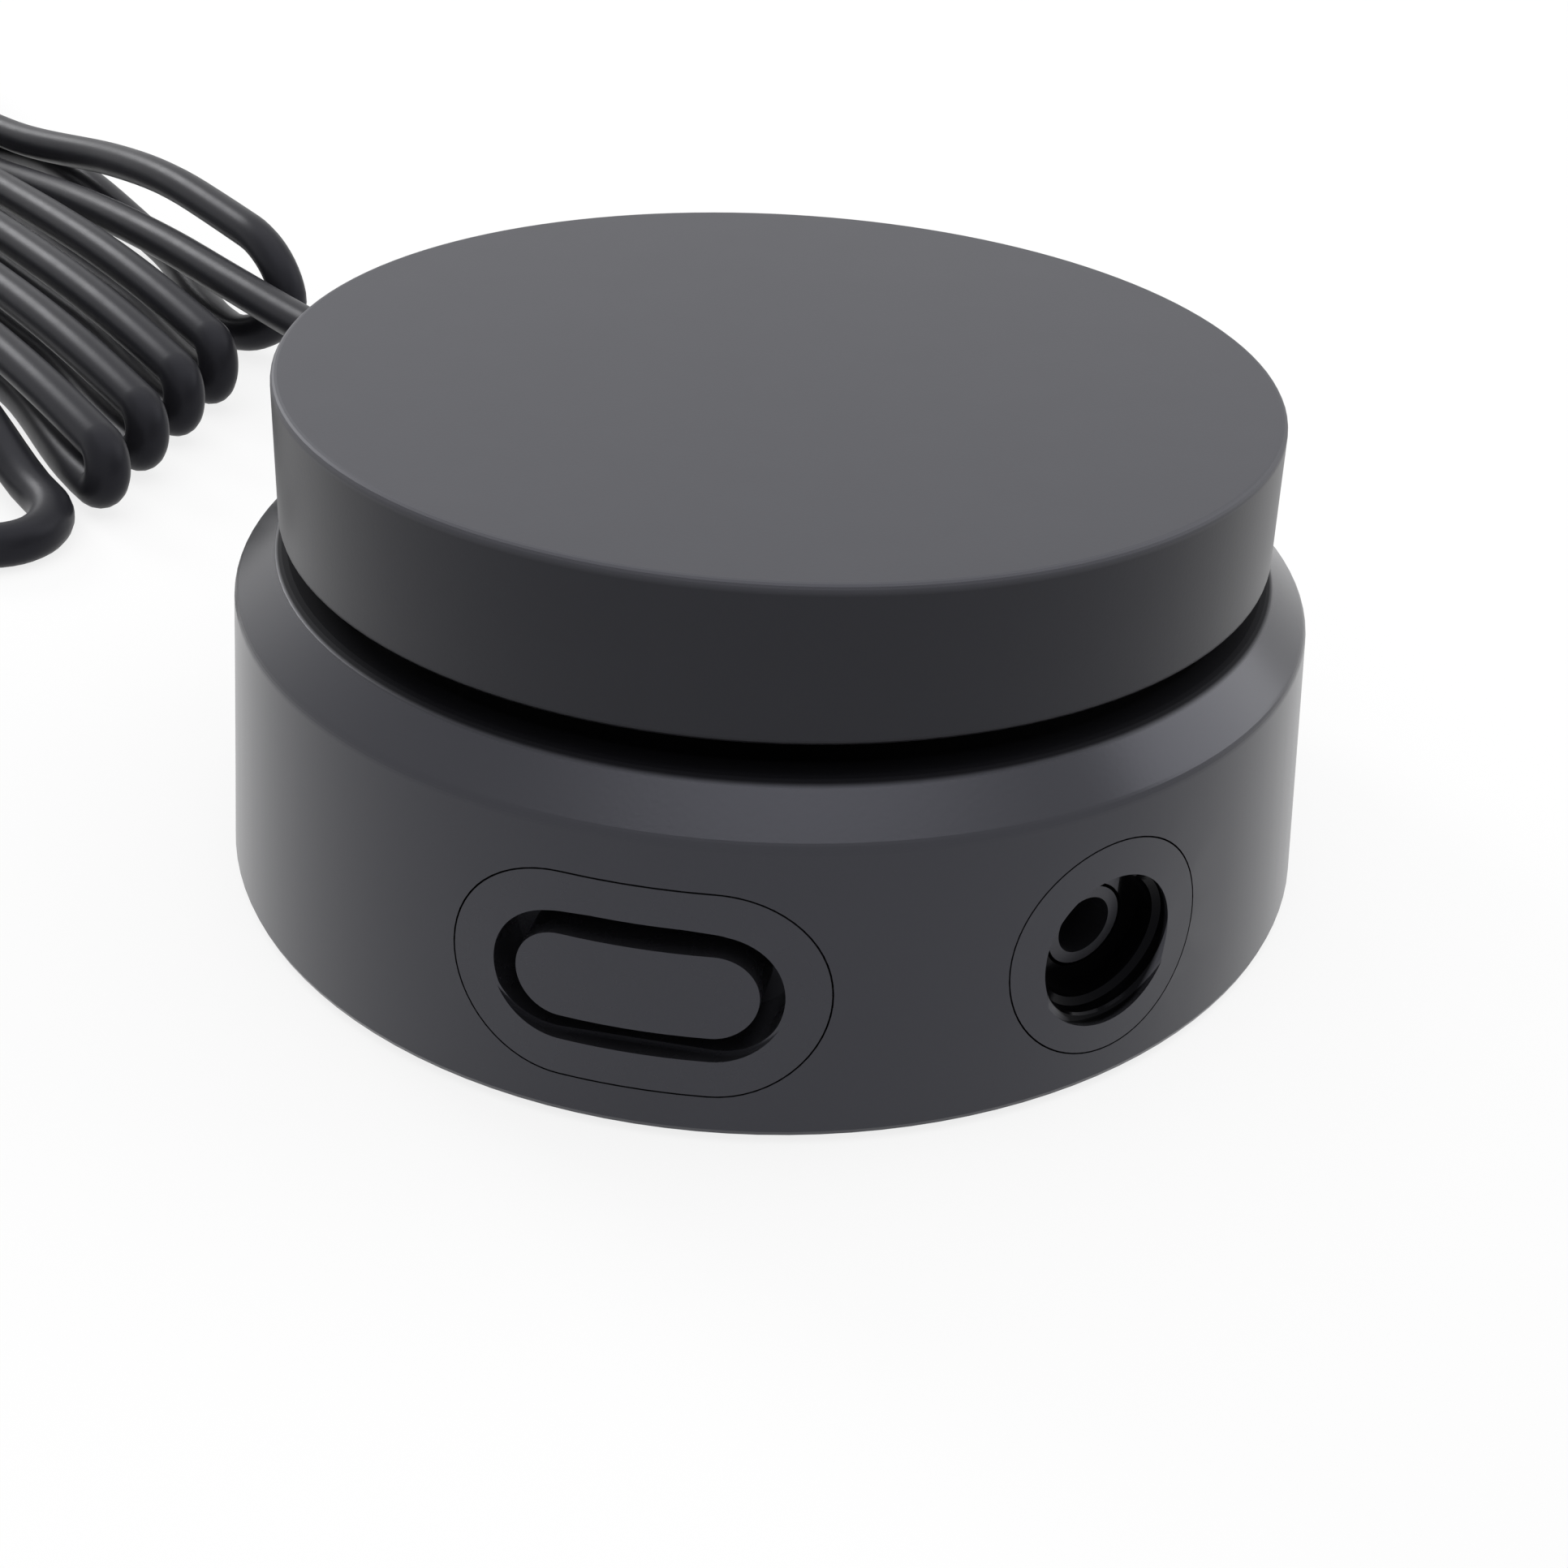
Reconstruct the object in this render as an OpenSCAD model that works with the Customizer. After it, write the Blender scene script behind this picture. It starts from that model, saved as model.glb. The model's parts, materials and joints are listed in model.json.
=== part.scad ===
// Desk-top USB audio controller: a dial that turns and presses, a mode button,
// a headset socket and a USB lead folded into a hank.
// Millimetres. The origin is the middle of the footprint on the desk, +Z is up,
// the headset socket faces -Y and the lead leaves at +Y.

/* [Housing] */
// Outside diameter at the foot of the wall
base_bottom_d = 70.4; // [68:0.2:74]
// Outside diameter at the top of the wall
base_top_d = 67; // [64:0.2:70]
// Height of the top of the wall above the desk
wall_h = 18.1; // [17.6:0.1:21]
// Rise of the sloping shoulder
shoulder_h = 2.5; // [2:0.1:3.2]
// Diameter at the top of the shoulder
rim_d = 61.4; // [59:0.2:63]
// Thickness of the wall
wall_t = 2.2; // [1.8:0.1:2.5]
// Depth of the deck below the rim
deck_drop = 2.4; // [2.1:0.1:2.8]
// Thickness of the deck
deck_t = 2; // [1.6:0.1:2.3]
// Height at which the wall stands clear of the desk
foot_stand = 0.4; // [0.3:0.05:0.6]
// Thickness of the plate that closes the bottom
plate_t = 2; // [1.8:0.1:2.2]
// Width of the soft ring foot
foot_w = 4.6; // [4.2:0.1:5]
// Width of the fine seam round each insert
seam = 0.1; // [0.06:0.01:0.16]

/* [Dial] */
// Diameter of the dial at its top edge
dial_top_d = 60.6; // [58:0.2:62]
// Diameter of the dial at its lower edge
dial_bottom_d = 61.2; // [59:0.2:63]
// Height of the dial's side
dial_h = 9; // [8.6:0.1:12]
// Shadow gap between the shoulder and the dial
dial_gap = 1.8; // [1.4:0.1:2.4]
// Thickness of the dial's side
dial_side_t = 2.2; // [1.8:0.1:2.8]
// Thickness of the dial's top
dial_top_t = 2.2; // [1.8:0.1:2.8]
// Number of stiffening ribs under the dial's top
dial_ribs = 8; // [6:1:12]
// How far the dial presses down
press_travel = 0.5; // [0.3:0.05:0.7]

/* [Rotary encoder] */
// Width of the encoder's body
encoder_w = 12; // [11.4:0.1:12.8]
// Height of the encoder's body
encoder_h = 6.3; // [6.1:0.1:6.6]
// Diameter of the shaft
shaft_d = 6; // [5.6:0.05:6.1]
// Outside diameter of the bushing
bushing_d = 7; // [6.9:0.05:7.4]
// Size of the nut across its flats
nut_af = 10; // [9.6:0.1:11]
// Thickness of the nut
nut_t = 2; // [1.8:0.1:2.2]
// Thickness of the washer under the nut
washer_t = 0.5; // [0.4:0.05:0.7]

/* [Mode button] */
// Angle from the headset socket round to the button
button_angle = 45; // [42:1:50]
// Length of the button
button_l = 13.2; // [12.4:0.1:13.8]
// Height of the button
button_h = 5; // [4.7:0.1:5.2]
// Gap all round the button
moat = 1.3; // [1.15:0.05:1.4]
// Width of the insert's band round the opening
bezel_band = 2.35; // [2.1:0.05:2.45]
// How far the button presses in
button_travel = 0.5; // [0.3:0.05:0.6]

/* [Headset socket] */
// Diameter of the round insert
socket_d = 13.2; // [12.6:0.1:13.4]
// Diameter of the recess in the insert
recess_d = 8.8; // [8.4:0.1:9.2]
// Depth of the recess
recess_depth = 2.45; // [2.2:0.05:2.7]
// Diameter of the hole for a headset plug
jack_hole_d = 3.6; // [3.55:0.05:3.7]
// Diameter of the socket's round nose
nose_d = 5; // [4.8:0.1:5.2]
// Depth of the hole for a headset plug
jack_hole_l = 14.4; // [14:0.1:15]

/* [Circuit board] */
// Height of the button, the socket and the lead above the desk
port_z = 9.1; // [9:0.05:9.5]
// Height of those centres above the board
port_rise = 2.6; // [2.55:0.01:2.65]
// Thickness of the board
board_t = 1.6; // [1.2:0.1:1.7]

/* [USB lead] */
// Diameter of the lead
cord_d = 3.5; // [3:0.1:3.6]
// Length of the strain relief outside the housing
relief_l = 14; // [12:0.5:16]
// Number of loops in the hank
hank_loops = 6; // [3:1:6]
// Length of the hank's shortest loop
hank_run = 108; // [104:1:116]
// Radius of the turns at the hank's far end
hank_turn_r = 7; // [6.8:0.1:7.4]
// Step from one loop to the next
hank_pitch = 5.7; // [5.7:0.1:6.4]
// Length of the plug's moulded grip
grip_l = 26; // [22:0.5:30]
// Width of the plug's moulded grip
grip_w = 15.4; // [14.6:0.2:16.4]
// Thickness of the plug's moulded grip
grip_t = 8; // [7.4:0.1:9]

/* [Hidden] */
$fn = 96;

// Clearances
seat = 0.05;        // between faces that seat on each other without pressing
loose = 0.35;       // between pieces that move past each other
running = 0.03;     // round the shaft
guide = 0.08;       // round the button's stem
screw_fit = 0.05;   // round a screw's shank

// Soft edges
edge = 0.4;         // lower and upper edges of the housing and the dial
shoulder_edge = 0.9; // where the wall meets the shoulder

// Heights
rim_z = wall_h + shoulder_h;
deck_top = rim_z - deck_drop;
deck_bottom = deck_top - deck_t;
plate_top = foot_stand + plate_t;
board_top = port_z - port_rise;
board_bottom = board_top - board_t;
dial_z = rim_z + dial_gap;
dial_top = dial_z + dial_h;
dial_ceiling = dial_top - dial_top_t;

// Radii of the wall, outside and inside, at a height
wall_slope = (base_bottom_d - base_top_d) / 2 / (wall_h - foot_stand);
function wall_r(z) = base_bottom_d / 2 - wall_slope * (z - foot_stand);
function room_r(z) = wall_r(z) - wall_t;
function room_min(z, half) = min(room_r(z - half), room_r(z + half));
function reach(r, half) = sqrt(r * r - half * half);

// Screws and what they hold
screw_r = 1.1;
head_r = 1.9;
head_t = 0.8;
foot_groove = 0.6;
boss_r = 2.3;
boss_angles = [40, 160, 280];
boss_inset = 0.6;
boss_circle_r = min(room_r(foot_stand), room_r(deck_bottom)) - boss_r - boss_inset;
boss_hole_l = 7;
plate_r = min(room_r(foot_stand), room_r(plate_top)) - seam;
post_r = 2;
post_angles = [62, 150, 250];
board_r = boss_circle_r - boss_r - 0.5;
post_circle_r = board_r - post_r - 2.2;
board_screw_l = 5;

// Encoder
shaft_r = shaft_d / 2;
bore_r = shaft_r + running;
flat = 0.75 * shaft_d - shaft_r;
encoder_top = board_top + encoder_h;
encoder_floor = 0.8;
encoder_lid = 0.7;
cavity_r = encoder_w / 2 - 1.3;
bushing_collar_r = encoder_w / 2 - 0.8;
bushing_collar_t = 0.8;
bushing_top = deck_top + washer_t + nut_t + 0.3;
deck_hole_r = bushing_d / 2 + 0.1;
deck_boss_r = bushing_collar_r + 1;
deck_boss_bottom = encoder_top + bushing_collar_t + seat;
washer_r = nut_af / 2 + 1;
plunger_r = 2.2;
plunger_t = 0.6;
plunger_z = board_top + encoder_floor + press_travel + loose;
shaft_z = plunger_z + plunger_t;
rotor_r = cavity_r - loose;
rotor_t = 1.2;
rotor_z = encoder_top - encoder_lid - loose - rotor_t;
hub_r = 6.5;
hub_z = bushing_top + press_travel + 0.5;
hub_flange_r = 14;
hub_flange_t = 1.6;
shaft_top = dial_ceiling - 0.6;
pin_drop = 0.5;

// Button, its insert and its switch, as distances out from the middle
wall_s = wall_r(port_z);
bezel_l = button_l + 2 * moat + 2 * bezel_band;
bezel_h = button_h + 2 * moat + 2 * bezel_band;
wing = 1;
flange_t = 1.4;
bezel_floor_t = 1.6;
bezel_front = reach(room_min(port_z, bezel_h / 2), bezel_l / 2 + wing) - seam;
bezel_back = bezel_front - flange_t;
bezel_floor = bezel_back + bezel_floor_t;
button_back = bezel_floor + button_travel + 0.6;
stem_l = button_l - 4.2;
stem_h = button_h - 2.2;
clip_t = 0.8;
clip_s = bezel_back - loose - clip_t;
tact_w = 6;
tact_r = 1.6;
tact_cover_t = 0.5;
tact_front = clip_s - button_travel - 0.4;
tact_body_l = 3.1;
tact_back = tact_front - tact_cover_t - tact_body_l;
tact_pocket = 1.9;

// Headset socket, as distances out from the middle
socket_r = socket_d / 2;
socket_flange_h = socket_r - 0.4;
socket_flange_t = 1.2;
socket_front = reach(room_min(port_z, socket_flange_h), socket_r + wing) - seam;
socket_back = socket_front - socket_flange_t;
recess_floor = wall_s - recess_depth;
recess_step = 0.4;
nose_gap = 0.2;
jack_front = socket_back - seam;
jack_w = 6.4;
jack_h = port_rise * 2;
jack_back_t = 1;
jack_back = recess_floor - jack_hole_l - jack_back_t;

// Where the lead comes in, as distances out from the middle
relief_r = 3.6;
relief_tip_r = cord_d / 2 + 0.75;
neck_r = 3.1;
relief_flange = 4.4;
relief_flange_t = 1.6;
relief_inner = reach(room_min(port_z, relief_flange), relief_flange) - seam;
relief_start = max(wall_r(port_z - relief_r), wall_r(port_z + relief_r)) + seam;
relief_end = relief_start + relief_l;
relief_ribs = 5;
header_l = 6;
header_inset = 5.3;
header_s = board_r - header_inset - header_l;
header_w = 9.4;
header_wall = 0.9;
header_floor = 1;
plug_fit = 0.1;
plug_stick = 2.6;
wires = 4;
wire_pitch = 1.6;
wire_r = 0.55;

// Hank: loops side by side from right to left. Places on it are given along it,
// across it and up; n counts the loops from 0, and the lead comes in as loop -1.
hank_yaw = 6;
hank_x = 5.05;         // across, where the row of loops starts
hank_tip = 87;         // along, where the row of near turns starts
hank_stagger = 5.4;    // step of the near turns
far_stagger = 5.8;     // step of the far turns
floor_z = cord_d / 2;
layer_z = floor_z + 4.9;
crest_z = 8;           // height of the upper strands near their turns
crest_step = 0.2;
crest_run = 52;
crest_back = 14;       // how far before the waist the rise to the crest starts
// Near turns: the upper strand droops, turns down and comes back underneath
tip_reach = 2.6;
tip_shift = 2;         // across, from an upper strand to the lower one
tip_sweep = 2.8;
tip_rise = 0.3;
rise_run = 26;
droop_run = 26;
tip_droop = 1.6;
// The first loop stands higher, leans in before the waist, and its turn passes
// under the lead
first_gap = 4.95;
first_shift = 1.4;
first_rise = 3.5;
first_droop = 0.6;
first_back = 2.5;
first_delay = 85;
first_sweep = 4.4;
first_lift = 2.6;
sweep_run = 26;
lean = 1.8;
lean_u = 128;
lean_run = 25;
// The last loop comes down to the floor and turns flat
last_gap = -0.7;
last_shift = -9.5;
last_back = 1;
last_run = 16;
last_sink = 1.6;
// Waist under the tie, and the fan of the strands behind it
waist_u = 174;
waist_half = 30;
waist_draw = 0.14;
waist_lift = 0.9;
mid_x = -7;
fan_w = 9;
fan_run = 25;
far_reach = 5;
far_hold = 10;
far_rise = 74;
first_far_rise = 160;
lead_x = 6.4;
hank_along = [-sin(hank_yaw), cos(hank_yaw), 0];
hank_across = [cos(hank_yaw), sin(hank_yaw), 0];
grip_z = grip_t / 2;

function ease(t) = let (c = min(max(t, 0), 1)) c * c * (3 - 2 * c);
function on_hank(u, x, z) = u * hank_along + x * hank_across + [0, 0, z];
function is_last(n) = n == hank_loops - 1;
function is_tip(n) = n > 0 && !is_last(n);
function pick(n, first, tip, last) = n < 1 ? first : is_last(n) ? last : tip;
function top_x(n) = hank_x - hank_pitch * n + pick(n, first_gap, 0, -last_gap);
function low_x(n) = n < 0 ? lead_x : top_x(n) + pick(n, first_shift, tip_shift, last_shift);
function turn_reach(n) = is_tip(n) ? tip_reach : hank_turn_r;
function near_u(n) = hank_tip - hank_stagger * n + turn_reach(n) + pick(n, first_back, 0, last_back);
function far_u(n) = hank_tip + hank_run + far_stagger * (hank_loops - 2 - n);
function crest(n) = crest_z - crest_step * (n - 1) + pick(n, first_rise, 0, -last_sink);
function droop(n) = pick(n, first_droop, tip_droop, crest(n) - floor_z);
function fall(n, u) = is_last(n) ? ease((near_u(n) + last_run - u) / last_run)
    : pow(min(max((near_u(n) + droop_run - u) / droop_run, 0), 1), 2);
// Pull of the waist, spread of the fan, and a place across drawn in by the waist
function pinch(u) = pow(cos(90 * min(1, abs(u - waist_u) / waist_half)), 4);
function fan(u) = fan_w * ease((u - waist_u) / fan_run);
function drawn(u, x) = mid_x + (x - mid_x) * (1 - waist_draw * pinch(u));
function sweep(n, u) = n < 0 ? 0
    : pick(n, first_sweep, tip_sweep, 0) * (1 - ease((u - near_u(n)) / sweep_run));
function lean_in(n, u) = n == 0 ? lean * ease((u - lean_u) / lean_run) : 0;
function hump(n, u) = n != 0 ? 0
    : first_lift * pow(cos(90 * min(1, abs(u - waist_u + waist_half) / waist_half)), 2);
function tip_low(n) = floor_z + (is_tip(n) ? tip_rise : 0);
// Upper strand, near turn, lower strand and far turn of a loop
function top_at(n, u) = on_hank(u, drawn(u, top_x(n) - lean_in(n, u) + fan(u)),
    layer_z + (crest(n) - layer_z) * ease((waist_u - crest_back - u) / crest_run)
    - droop(n) * fall(n, u));
function near_turn(n, a) = let (
        z0 = tip_low(n),
        z1 = crest(n) - droop(n),
        t = a / 180,
        m = is_last(n) ? 0 : -2 * droop(n) / droop_run * turn_reach(n) * PI,
        g = n < 1 ? ease((a - first_delay) / (180 - first_delay)) : (1 - cos(a)) / 2
    ) on_hank(near_u(n) - turn_reach(n) * sin(a),
              top_x(n) + (low_x(n) - sweep(n, near_u(n)) - top_x(n)) * g,
              z0 + (z1 - z0) * (1 + cos(a)) / 2 + m * t * pow(1 - t, 2));
function low_at(n, u) = on_hank(u, drawn(u, low_x(n) - sweep(n, u) - fan(u)),
    floor_z + waist_lift * pinch(u) + hump(n, u)
    + (tip_low(n) - floor_z) * (1 - ease((u - near_u(n)) / rise_run)));
function far_turn(n, a) = let (
        u = far_u(n),
        x0 = drawn(u, low_x(n) - fan(u)),
        x1 = drawn(u, top_x(n + 1) - lean_in(n + 1, u) + fan(u)),
        rise = n == 0 ? first_far_rise : far_rise
    ) on_hank(u + far_reach * sin(a), x0 + (x1 - x0) * (1 - cos(a)) / 2,
              floor_z + (layer_z - floor_z) * ease((a - far_hold) / rise));
// Places of the rings along a run, closer at the waist
function run_u(near, j) = [near, (near + waist_u - waist_half) / 2, waist_u - waist_half,
                           waist_u - waist_half / 2, waist_u, waist_u + waist_half / 2][j];
// A point of the hank's centre line at ring i, with 24 rings to a loop
function hank_ring(i) = let (n = floor(i / 24), j = i - 24 * n)
    j == 0 ? top_at(n, far_u(n - 1))
    : j < 6 ? top_at(n, run_u(near_u(n), 6 - j))
    : j < 12 ? near_turn(n, 30 * (j - 6))
    : j < 18 ? low_at(n, run_u(near_u(n), j - 12))
    : far_turn(n, 30 * (j - 18));
hank_last_ring = 24 * (hank_loops - 1) + 12;
hank_start = hank_ring(-6) - 5 * hank_along;
hank_end = hank_ring(hank_last_ring) + 5 * hank_along;
hank_path = concat([hank_start], [for (i = [-6 : hank_last_ring]) hank_ring(i)], [hank_end]);

// Free stretch of the lead, from the strain relief to the hank
cord_path = [[0, relief_end, port_z],
             [0, relief_end + 4, port_z],
             on_hank(60, 6, 8.8),
             on_hank(69, 6.1, 8.4),
             on_hank(80, 5.7, 8.2),
             on_hank(92, 5.4, 8.2),
             on_hank(104, 5.4, 8),
             on_hank(116, 5.3, 7.4),
             on_hank(128, 5.3, 6.3),
             on_hank(140, 5.5, 4.7),
             on_hank(151, 5.7, 3.2),
             on_hank(160, 5.5, 2.7),
             low_at(-1, waist_u),
             low_at(-1, waist_u + waist_half / 2),
             hank_start - 4 * hank_along,
             hank_start];
// Free stretch from the hank to the plug
tail_path = [hank_end,
             hank_end + 4 * hank_along,
             [-41.5, 90, floor_z],
             [-44.2, 98, floor_z],
             [-47.5, 107, 2],
             [-51, 117, 2.8],
             [-53.4, 127, 3.8],
             [-54, 136, grip_z],
             [-54, 140, grip_z]];
plug_at = tail_path[len(tail_path) - 1];

// A tube swept along a path: rings square to the path, joined by triangles
function unit(v) = v / norm(v);
function heading(p, i) = unit(p[min(i + 1, len(p) - 1)] - p[max(i - 1, 0)]);
function tube_ring(c, t, r, m) = let (
        e = unit([1, 0, 0] - t[0] * t),
        f = cross(t, e)
    ) [for (j = [0 : m - 1]) c + r * (cos(360 * j / m) * e + sin(360 * j / m) * f)];
module tube(path, d, m) {
    n = len(path);
    points = [for (i = [0 : n - 1]) each tube_ring(path[i], heading(path, i), d / 2, m)];
    sides = [for (i = [0 : n - 2]) for (j = [0 : m - 1])
        let (a = i * m + j, b = i * m + (j + 1) % m)
        each [[a, a + m, b + m], [a, b + m, b]]];
    caps = [[for (j = [0 : m - 1]) j], [for (j = [m - 1 : -1 : 0]) (n - 1) * m + j]];
    polyhedron(points = points, faces = concat(sides, caps), convexity = 20);
}

// Least gap of the hank to itself, measured on four points to a ring step: between its strands, and
// between the two legs of one fold, which are 5 to 8 rings apart along the cord
fine = [for (i = [0 : len(hank_path) - 2]) for (q = [0 : 0.25 : 0.99])
    hank_path[i] * (1 - q) + hank_path[i + 1] * q];
function least_gap(from, to) = min([for (i = [0 : len(fine) - 1])
    for (j = [i + from : 1 : min(i + to, len(fine) - 1)]) norm(fine[i] - fine[j])]) - cord_d;
hank_gap = least_gap(33, len(fine));
fold_gap = least_gap(20, 32);
function way(p) = [for (i = [1 : len(p) - 1]) norm(p[i] - p[i - 1])];
function total(v) = v * [for (x = v) 1];
lead_length = total(way(cord_path)) + total(way(hank_path)) + total(way(tail_path));
echo(hank_gap = hank_gap, fold_gap = fold_gap, lead_length = lead_length);

// Helpers
// Places a child at an angle round the housing: x across, y up, z outwards
module at_wall(angle) {
    rotate([0, 0, angle]) translate([0, 0, port_z]) rotate([90, 0, 0]) children();
}
module round_at(angles, r) {
    for (a = angles) rotate([0, 0, a]) translate([0, -r, 0]) children();
}
module pill(l, h) {
    square([l - h, h], center = true);
    for (x = [-1, 1]) translate([x * (l - h) / 2, 0]) circle(d = h);
}
module round_rect(w, h, r) {
    square([w - 2 * r, h], center = true);
    square([w, h - 2 * r], center = true);
    for (x = [-1, 1], y = [-1, 1]) translate([x * (w / 2 - r), y * (h / 2 - r)]) circle(r = r);
}
module ring(r1, r0, z0, z1) {
    translate([0, 0, z0]) difference() {
        cylinder(r = r1, h = z1 - z0);
        translate([0, 0, -1]) cylinder(r = r0, h = z1 - z0 + 2);
    }
}
module box(w, h, s0, s1, y0) {
    translate([-w / 2, y0, s0]) cube([w, h, s1 - s0]);
}
function arc(c, r, a0, a1, n = 4) = [for (i = [0 : n]) let (a = a0 + (a1 - a0) * i / n)
    c + r * [cos(a), sin(a)]];

// Outline of the housing, from the foot of the wall up to the rim
wall_lean = atan(wall_slope);
shoulder_a = atan((base_top_d - rim_d) / 2 / shoulder_h);
shoulder_k = shoulder_edge * tan((shoulder_a - wall_lean) / 2);
shoulder_c = [wall_r(wall_h - shoulder_k * cos(wall_lean)), wall_h - shoulder_k * cos(wall_lean)]
             - shoulder_edge * [cos(wall_lean), sin(wall_lean)];
rim_r = rim_d / 2;
outline = concat(
    [[base_bottom_d / 2 - edge, foot_stand]],
    [[base_bottom_d / 2 - edge * 0.3, foot_stand + edge * 0.3]],
    [[wall_r(foot_stand + edge), foot_stand + edge]],
    arc(shoulder_c, shoulder_edge, wall_lean, shoulder_a),
    [[rim_r + edge * sin(shoulder_a), rim_z - edge * cos(shoulder_a)]],
    [[rim_r - edge * 0.2, rim_z - edge * 0.15]],
    [[rim_r - edge, rim_z]]);
module envelope() {
    rotate_extrude() polygon(concat([[0, foot_stand]], outline, [[0, rim_z]]));
}

// Housing
rim_t = 1.6;
module base_shell() {
    color([0.36, 0.36, 0.38]) difference() {
        union() {
            rotate_extrude() polygon(concat(outline, [
                [rim_r - rim_t, rim_z],
                [rim_r - rim_t, deck_top],
                [deck_hole_r, deck_top],
                [deck_hole_r, deck_boss_bottom],
                [deck_boss_r, deck_boss_bottom],
                [deck_boss_r, deck_bottom],
                [room_r(deck_bottom), deck_bottom],
                [room_r(foot_stand), foot_stand]]));
            round_at(boss_angles, boss_circle_r) translate([0, 0, plate_top])
                cylinder(r = boss_r, h = deck_bottom + deck_t / 2 - plate_top);
            round_at(post_angles, post_circle_r) translate([0, 0, board_top])
                cylinder(r = post_r, h = deck_bottom + deck_t / 2 - board_top);
        }
        round_at(boss_angles, boss_circle_r) translate([0, 0, plate_top - 1])
            cylinder(r = screw_r + screw_fit, h = boss_hole_l + 1);
        round_at(post_angles, post_circle_r) translate([0, 0, board_top - 1])
            cylinder(r = screw_r + screw_fit, h = board_screw_l + 1);
        at_wall(-button_angle) translate([0, 0, bezel_front])
            linear_extrude(wall_s) pill(bezel_l + 2 * seam, bezel_h + 2 * seam);
        at_wall(0) translate([0, 0, socket_front]) cylinder(r = socket_r + seam, h = wall_s);
        at_wall(180) translate([0, 0, relief_inner]) cylinder(r = neck_r + seam, h = wall_s);
    }
}
module base_plate() {
    color([0.3, 0.3, 0.32]) difference() {
        translate([0, 0, foot_stand]) cylinder(r = plate_r, h = plate_t);
        ring(boss_circle_r + foot_w / 2 + seam, boss_circle_r - foot_w / 2 - seam,
             foot_stand - 1, foot_stand + foot_groove);
        round_at(boss_angles, boss_circle_r) {
            translate([0, 0, foot_stand]) cylinder(r = head_r + seam, h = foot_groove + head_t);
            translate([0, 0, foot_stand]) cylinder(r = screw_r + 0.15, h = plate_t + 1);
        }
    }
}
module foot_ring() {
    color([0.12, 0.12, 0.12])
        ring(boss_circle_r + foot_w / 2, boss_circle_r - foot_w / 2, 0, foot_stand + foot_groove);
}
module screw(z_head, l, slot) {
    difference() {
        union() {
            translate([0, 0, z_head]) cylinder(r = head_r, h = head_t);
            translate([0, 0, z_head + head_t]) cylinder(r = screw_r, h = l);
        }
        for (a = [0, 90]) rotate([0, 0, a])
            translate([-head_r * 0.6, -0.25, z_head - 1]) cube([head_r * 1.2, 0.5, 1 + slot]);
    }
}
module base_screws() {
    color([0.75, 0.75, 0.77]) round_at(boss_angles, boss_circle_r)
        screw(foot_stand + foot_groove, plate_top - foot_stand - foot_groove - head_t + boss_hole_l - 0.5,
              head_t / 2);
}

// Round insert with the stepped recess
module jack_bezel() {
    recess_r = recess_d / 2;
    lip = 0.5;
    color([0.33, 0.33, 0.35]) difference() {
        intersection() {
            at_wall(0) {
                translate([0, 0, socket_back]) cylinder(r = socket_r, h = wall_s);
                box(socket_d + 2 * wing, 2 * socket_flange_h, socket_back, socket_front,
                    -socket_flange_h);
            }
            envelope();
        }
        at_wall(0) {
            rotate_extrude() polygon(concat(
                [[0, recess_floor]],
                [[recess_r - recess_step, recess_floor]],
                [[recess_r - recess_step, recess_floor + recess_depth * 0.5]],
                [[recess_r, recess_floor + recess_depth * 0.62]],
                arc([recess_r + lip, wall_s - lip], lip, 180, 90),
                [[recess_r + lip, wall_s + 3], [0, wall_s + 3]]));
            translate([0, 0, socket_back - 1])
                cylinder(r = nose_d / 2 + nose_gap, h = recess_floor - socket_back + 2);
        }
    }
}
module jack_housing() {
    color([0.06, 0.06, 0.06]) at_wall(0) difference() {
        union() {
            box(jack_w, jack_h, jack_back, jack_front, -port_rise);
            cylinder_from(nose_d / 2, jack_front - 1, recess_floor);
            translate([0, port_rise - 0.6, 0])
                box(jack_w - 2, 1, jack_back + 1.5, jack_front - 3, 0);
        }
        translate([0, 0, recess_floor - jack_hole_l]) cylinder(r = jack_hole_d / 2, h = jack_hole_l + 1);
    }
}
module cylinder_from(r, s0, s1) {
    translate([0, 0, s0]) cylinder(r = r, h = s1 - s0);
}
contact_t = 0.4;
contact_w = 1.4;
contact_h = 3.2;
module jack_contacts() {
    color([0.8, 0.76, 0.62]) at_wall(0)
        for (x = [-1, 1], i = [0 : 2]) {
            translate([x * (jack_w / 2 + contact_t / 2), 0, 0])
                box(contact_t, contact_h, jack_back + 2 + 4 * i, jack_back + 2 + contact_w + 4 * i,
                    -port_rise);
            translate([x * (jack_w / 2 + contact_t + 0.4), 0, 0])
                box(0.8 + contact_t, contact_t, jack_back + 2 + 4 * i,
                    jack_back + 2 + contact_w + 4 * i, -port_rise);
        }
}

// Long insert, button and switch
module button_bezel() {
    lip = 0.35;
    color([0.33, 0.33, 0.35]) difference() {
        intersection() {
            at_wall(-button_angle) {
                translate([0, 0, bezel_back]) linear_extrude(wall_s) pill(bezel_l, bezel_h);
                box(bezel_l + 2 * wing, bezel_h - 2, bezel_back, bezel_front, 1 - bezel_h / 2);
            }
            envelope();
        }
        at_wall(-button_angle) {
            translate([0, 0, bezel_floor]) linear_extrude(wall_s)
                pill(button_l + 2 * moat, button_h + 2 * moat);
            translate([0, 0, wall_s - lip * 2]) linear_extrude(wall_s)
                pill(button_l + 2 * moat + lip, button_h + 2 * moat + lip);
            translate([0, 0, bezel_back - 1]) linear_extrude(wall_s)
                square([stem_l + 2 * guide, stem_h + 2 * guide], center = true);
        }
    }
}
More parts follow.
